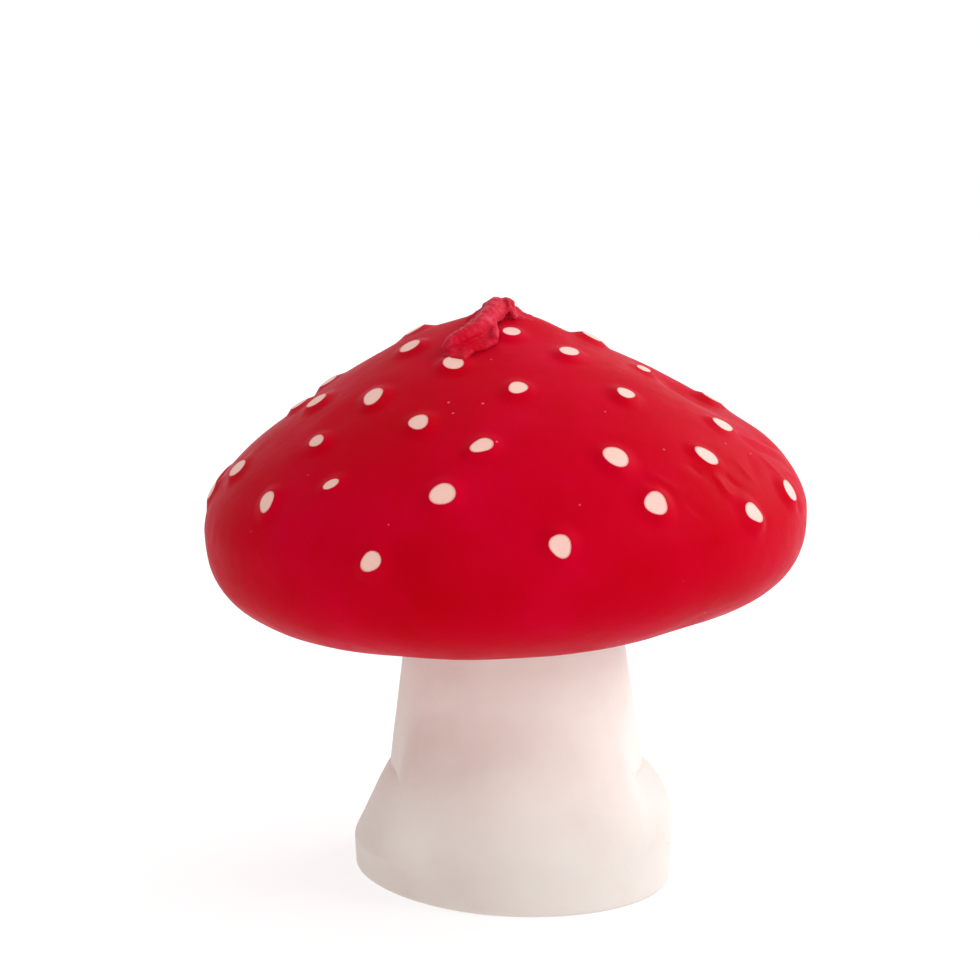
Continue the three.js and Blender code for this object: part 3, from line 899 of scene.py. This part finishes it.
def wick_wax_piece(looks):
    """The torn red wax around the folded wick, with its ridges marked for the material's paleness,
    which is partly torn wax and partly a painted highlight.
    """
    lumps, lump_faces = wax_lumps()
    points, normals, faces = melted(lumps, lump_faces, WAX_SOFTEN)
    softer = melted(lumps, lump_faces, WAX_SOFTER)[0]
    torn = np.exp(-(np.linalg.norm(points - TORN_PLACE, axis=1) / TORN_WIDTH) ** 2)
    height, width, seed = TORN_WAVE
    rough = uneven(points, WAX_WAVES)
    rough += torn * height * noise_at(points, width, SEED + seed)
    rough *= smooth_step(0, UNDER_FADE, normals[:, 2] + UNDER_SIDE)
    ridge = np.einsum("ij,ij->i", points - softer, normals) + RIDGE_ROUGHNESS * rough
    piece = make_piece("wick_coat_wax", points + rough[:, None] * normals, faces,
                       "wick_coat", looks)
    marks = piece.data.attributes.new("ridge", "FLOAT", "POINT")
    # the paleness is partly torn wax and partly a painted highlight on ridges and upward faces; the
    # flap gets none
    flap = np.exp(-(np.linalg.norm(points - FLAP_PLACE, axis=1) / FLAP_WIDTH) ** 2)
    paleness_and_highlight = RIDGE_LEAST + RIDGE_SPAN * smooth_step(*RIDGE_RANGE, ridge)
    marks.data.foreach_set("value", (1 - flap) * paleness_and_highlight)


# ---- materials ----

RED_SHADES = ((0.3, (0.45, 0.0, 0.006)), (0.55, (0.49, 0.0, 0.012)), (0.75, (0.53, 0.0, 0.021)))
RED_FLECK = (0.7, 0.1, 0.16)
# pink of torn wax, also standing for a painted highlight on the wick wax's ridges and upper side
TORN_PINK_AND_HIGHLIGHT = (0.74, 0.12, 0.2)
# the pale wax turned peach by a painted red glow, as of light through the red coat around the cuts
CORE_COLOUR_AND_RED_GLOW = (0.83, 0.5, 0.43)
# painted red glow of light coming through the red coat's thin edge, at each cut's outline
CUT_EDGE_GLOW_COLOUR = (0.62, 0.16, 0.15)
STEM_COLOUR = (0.8, 0.705, 0.655)
# painted shade: the stem darker and greyer towards the bottom
FOOT_SHADE_TINT = (0.86, 0.875, 0.87)
FOOT_SHADE_LEVELS = (8, 44)    # the painted shade is full below the first and gone above the second
COTTON_SHADES = ((0.35, (0.62, 0.55, 0.42)), (0.6, (0.85, 0.8, 0.68)))


def new_material(name):
    """A material, its nodes and links, and its shader."""
    material = bpy.data.materials.new(name)
    material.use_nodes = True
    nodes = material.node_tree.nodes
    return material, nodes, material.node_tree.links, nodes["Principled BSDF"]


def noise_node(nodes, links, coords, size, detail, roughness=0.55):
    """Noise whose lumps are about size mm wide."""
    node = nodes.new("ShaderNodeTexNoise")
    node.inputs["Scale"].default_value = 1 / (size * MM)
    node.inputs["Detail"].default_value = detail
    node.inputs["Roughness"].default_value = roughness
    links.new(coords, node.inputs["Vector"])
    return node.outputs["Fac"]


def ramp_node(nodes, links, value, stops):
    """A colour for each value; a stop is a value and its colour."""
    node = nodes.new("ShaderNodeValToRGB")
    ramp = node.color_ramp
    while len(ramp.elements) < len(stops):
        ramp.elements.new(0.5)
    for element, (place, colour) in zip(ramp.elements, stops):
        element.position = place
        element.color = (*colour, 1)
    links.new(value, node.inputs["Fac"])
    return node.outputs["Color"]


def mix_node(nodes, links, share, first, second):
    """The first colour where share is 0, the second where it is 1."""
    node = nodes.new("ShaderNodeMix")
    node.data_type = "RGBA"
    for socket, value in (("Factor", share), ("A", first), ("B", second)):
        target = next(i for i in node.inputs if i.name == socket and i.enabled)
        if isinstance(value, (tuple, float)):
            target.default_value = (*value, 1) if isinstance(value, tuple) else value
        else:
            links.new(value, target)
    return next(o for o in node.outputs if o.enabled)


def tint_node(nodes, links, colour, tint):
    """The colour times the tint."""
    node = nodes.new("ShaderNodeVectorMath")
    node.operation = "MULTIPLY"
    links.new(colour, node.inputs[0])
    node.inputs[1].default_value = tint
    return node.outputs["Vector"]


def fleck_node(nodes, links, coords, spacing, size):
    """1 in small flecks about spacing mm apart, each size times the spacing across, 0 elsewhere."""
    node = nodes.new("ShaderNodeTexVoronoi")
    node.inputs["Scale"].default_value = 1 / (spacing * MM)
    links.new(coords, node.inputs["Vector"])
    share = nodes.new("ShaderNodeMapRange")
    share.inputs["From Min"].default_value = size
    share.inputs["From Max"].default_value = 0.6 * size
    links.new(node.outputs["Distance"], share.inputs["Value"])
    return share.outputs["Result"]


def bump_node(nodes, links, height, depth, before=None):
    """Bump of a height from 0 to 1, depth mm deep."""
    node = nodes.new("ShaderNodeBump")
    node.inputs["Distance"].default_value = depth * MM
    links.new(height, node.inputs["Height"])
    if before is not None:
        links.new(before, node.inputs["Normal"])
    return node.outputs["Normal"]


def red_wax(name, torn_ridges_and_highlights):
    """Dipped red candle wax: saturated and satin; for the wick's wax, paler where it is torn, with a
    painted highlight on its ridges and upper side.
    """
    material, nodes, links, shader = new_material(name)
    coords = nodes.new("ShaderNodeTexCoord").outputs["Object"]
    cloud = noise_node(nodes, links, coords, 22, 3)
    colour = ramp_node(nodes, links, cloud, RED_SHADES)
    flecks = fleck_node(nodes, links, coords, 7, 0.045)
    colour = mix_node(nodes, links, flecks, colour, RED_FLECK)
    if torn_ridges_and_highlights:
        # pale pink from the ridge mark: partly torn wax, partly a painted highlight
        ridge = nodes.new("ShaderNodeAttribute")
        ridge.attribute_name = "ridge"
        colour = mix_node(nodes, links, ridge.outputs["Fac"], colour, TORN_PINK_AND_HIGHLIGHT)
    links.new(colour, shader.inputs["Base Color"])
    satin = noise_node(nodes, links, coords, 6, 4)
    gloss = ramp_node(nodes, links, satin, ((0.3, (0.36,) * 3), (0.7, (0.5,) * 3)))
    links.new(gloss, shader.inputs["Roughness"])
    shader.inputs["Specular IOR Level"].default_value = 0.03 if torn_ridges_and_highlights else 0.01
    shader.inputs["Sheen Weight"].default_value = 0.15 if torn_ridges_and_highlights else 0.1
    shader.inputs["Sheen Roughness"].default_value = 0.35
    shader.inputs["Sheen Tint"].default_value = (1, 0.35, 0.5, 1)
    grain = noise_node(nodes, links, coords, 0.9, 3)
    ripples = noise_node(nodes, links, coords, 4.5, 2)
    fine = bump_node(nodes, links, grain, 0.03)
    links.new(bump_node(nodes, links, ripples, 0.12, fine), shader.inputs["Normal"])
    return material


def pale_wax(name, light, cut_edge_glow, foot=None):
    """Cast wax, faintly mottled around its light colour.

    Where a cut's edge is marked, a painted red glow of light through the red coat makes it pinker;
    foot is the tint of a painted shade that darkens it low down.
    """
    material, nodes, links, shader = new_material(name)
    coords = nodes.new("ShaderNodeTexCoord").outputs["Object"]
    cloud = noise_node(nodes, links, coords, 14, 4)
    light = np.array(light)
    pits = fleck_node(nodes, links, coords, 11, 0.035)
    colour = ramp_node(nodes, links, cloud, (
        (0.32, light * [0.97, 0.95, 0.95]), (0.5, light), (0.68, light * [1.02, 1.04, 1.04])))
    colour = mix_node(nodes, links, pits, colour, tuple(light * [0.72, 0.66, 0.62]))
    # painted glow: pinker where light would come through the red coat at a cut's edge
    if cut_edge_glow:
        edge = nodes.new("ShaderNodeAttribute")
        edge.attribute_name = "cut_edge_glow"
        colour = mix_node(nodes, links, edge.outputs["Fac"], colour, CUT_EDGE_GLOW_COLOUR)
    # painted shade: darker towards the bottom
    if foot:
        split = nodes.new("ShaderNodeSeparateXYZ")
        links.new(coords, split.inputs["Vector"])
        rise = nodes.new("ShaderNodeMapRange")
        rise.inputs["From Min"].default_value = FOOT_SHADE_LEVELS[0] * MM
        rise.inputs["From Max"].default_value = FOOT_SHADE_LEVELS[1] * MM
        links.new(split.outputs["Z"], rise.inputs["Value"])
        colour = mix_node(nodes, links, rise.outputs["Result"],
                          tint_node(nodes, links, colour, foot), colour)
    links.new(colour, shader.inputs["Base Color"])
    shader.inputs["Roughness"].default_value = 0.55
    shader.inputs["Specular IOR Level"].default_value = 0.3
    shader.inputs["Subsurface Weight"].default_value = 0.15
    shader.inputs["Subsurface Radius"].default_value = (1, 0.6, 0.45)
    shader.inputs["Subsurface Scale"].default_value = 2.5 * MM
    grain = noise_node(nodes, links, coords, 1.1, 5)
    links.new(bump_node(nodes, links, grain, 0.05), shader.inputs["Normal"])
    return material


def wick_cotton():
    """Cotton stiffened with wax: off-white, with fine threads."""
    material, nodes, links, shader = new_material("wick_cotton")
    coords = nodes.new("ShaderNodeTexCoord").outputs["Object"]
    threads = noise_node(nodes, links, coords, 0.35, 3)
    colour = ramp_node(nodes, links, threads, COTTON_SHADES)
    links.new(colour, shader.inputs["Base Color"])
    shader.inputs["Roughness"].default_value = 0.8
    links.new(bump_node(nodes, links, threads, 0.08), shader.inputs["Normal"])
    return material


# ---- stage, light and camera ----

WORLD_STRENGTH = 1.02
DIM_SIDE = (-0.85, -0.5, 0.1)  # the direction in which the surroundings are darkest
DIM_LIGHT = (0.5, 0.47, 0.44)
LIGHT_COLOUR = (0.9, 0.97, 1.0)
LIGHT_AIM = (0, 0, 0.06)
FLOOR_SIZE = 6.0              # half its width, in metres
FLOOR_GAP = 0.05              # mm below the base
FLOOR_GREY = 0.35
FLOOR_GLOW = 0.72             # keeps the floor pale far from the lamps
# name, size in metres, energy, place in metres
SOFT_LIGHTS = (
    ("key", 0.7, 6.6, (1.1, -0.35, 0.75)),
    ("rim", 0.8, 6.5, (1.0, 0.7, 0.75)),
    ("fill", 0.8, 1.8, (-0.1, -1.2, 0.5)),
)
CAMERA_PLACE = (-4.5, -480.0, 155.4)
CAMERA_DOWN = 0.1595          # radians
CAMERA_LENS = 89.44


def make_stage():
    size = FLOOR_SIZE
    mesh = bpy.data.meshes.new("floor")
    mesh.from_pydata([(-size, -size, 0), (size, -size, 0), (size, size, 0), (-size, size, 0)],
                     [], [(0, 1, 2, 3)])
    floor = bpy.data.objects.new("floor", mesh)
    floor.location.z = -FLOOR_GAP * MM
    bpy.context.scene.collection.objects.link(floor)
    material, _, _, shader = new_material("floor")
    shader.inputs["Base Color"].default_value = (FLOOR_GREY, FLOOR_GREY, FLOOR_GREY, 1)
    shader.inputs["Roughness"].default_value = 0.9
    shader.inputs["Specular IOR Level"].default_value = 0.0
    shader.inputs["Emission Color"].default_value = (1, 1, 1, 1)
    shader.inputs["Emission Strength"].default_value = FLOOR_GLOW
    mesh.materials.append(material)


def make_light():
    world = bpy.data.worlds.new("studio")
    world.use_nodes = True
    bpy.context.scene.world = world
    nodes, links = world.node_tree.nodes, world.node_tree.links
    # white all round, dimmer and warmer towards DIM_SIDE, the front left
    direction = nodes.new("ShaderNodeTexCoord").outputs["Generated"]
    towards = nodes.new("ShaderNodeVectorMath")
    towards.operation = "DOT_PRODUCT"
    towards.inputs[1].default_value = DIM_SIDE
    links.new(direction, towards.inputs[0])
    shade = ramp_node(nodes, links, towards.outputs["Value"], (
        (0.0, (1.0, 1.0, 1.0)), (0.9, DIM_LIGHT)))
    links.new(shade, nodes["Background"].inputs["Color"])
    nodes["Background"].inputs["Strength"].default_value = WORLD_STRENGTH
    for name, size, energy, place in SOFT_LIGHTS:
        light = bpy.data.lights.new(name, "AREA")
        light.shape = "DISK"
        light.size = size
        light.energy = energy
        light.color = LIGHT_COLOUR
        lamp = bpy.data.objects.new(name, light)
        lamp.location = place
        aim = Vector(LIGHT_AIM) - lamp.location
        lamp.rotation_euler = aim.to_track_quat("-Z", "Y").to_euler()
        bpy.context.scene.collection.objects.link(lamp)


def make_camera():
    data = bpy.data.cameras.new("camera")
    data.lens = CAMERA_LENS
    data.sensor_width = 36
    data.clip_start, data.clip_end = 0.01, 50
    camera = bpy.data.objects.new("camera", data)
    camera.location = Vector(CAMERA_PLACE) * MM
    camera.rotation_euler = (math.pi / 2 - CAMERA_DOWN, 0, 0)
    bpy.context.scene.collection.objects.link(camera)
    bpy.context.scene.camera = camera


# ---- build ----

make_camera()
make_stage()
make_light()
bpy.context.scene.view_settings.view_transform = "Standard"

cap_pieces(red_wax("red_wax", False), pale_wax("core_wax", CORE_COLOUR_AND_RED_GLOW, True))
stem_piece(pale_wax("stem_wax", STEM_COLOUR, False, FOOT_SHADE_TINT))
wick_piece(wick_cotton())
wick_wax_piece(red_wax("torn_red_wax_and_highlights", True))
